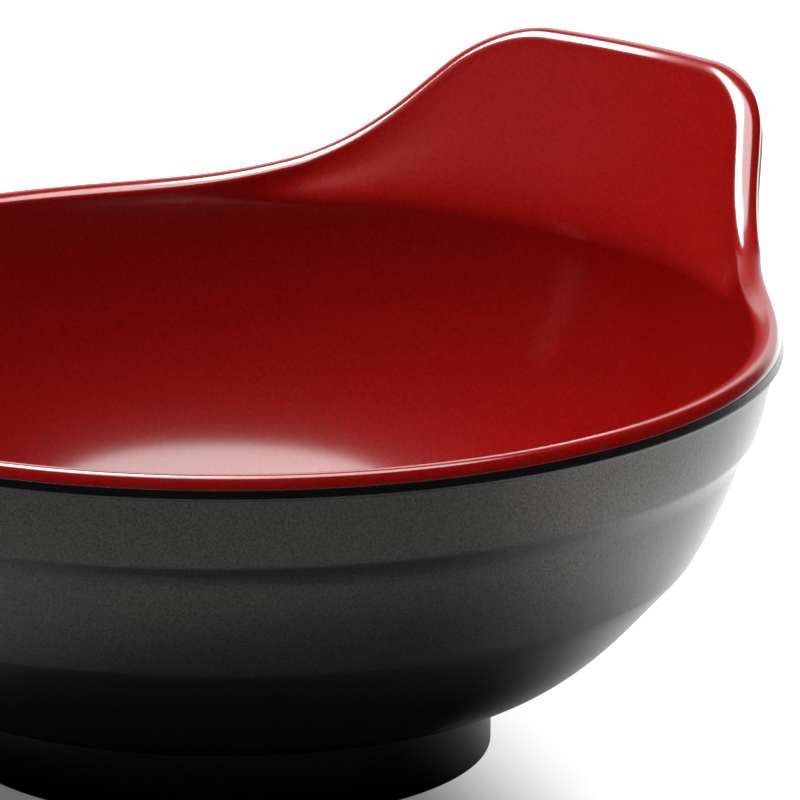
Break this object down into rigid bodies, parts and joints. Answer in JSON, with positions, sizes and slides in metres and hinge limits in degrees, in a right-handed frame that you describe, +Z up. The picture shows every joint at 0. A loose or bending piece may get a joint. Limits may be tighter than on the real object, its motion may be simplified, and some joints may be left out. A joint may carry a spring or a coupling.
{
  "type": "sauce bowl",
  "caption": "Round two-colour dipping bowl with a banded outside, a foot ring and a tab that leans out of the rim to hold it by.",
  "frame": {"origin": "on the table under the middle of the bounding box, so the bowl's own axis stands at Y = -6.33 mm", "axes": "+Z up, +Y towards the tab, +X to the right seen from the side away from the tab"},
  "size_m": [0.1198, 0.1326, 0.064],
  "materials": {
    "black": "fine satin moulded melamine, black",
    "red": "glossy moulded melamine, deep red"
  },
  "bodies": {
    "root": {"outer_shell": "black", "inner_lining": "red"}
  },
  "joints": []
}
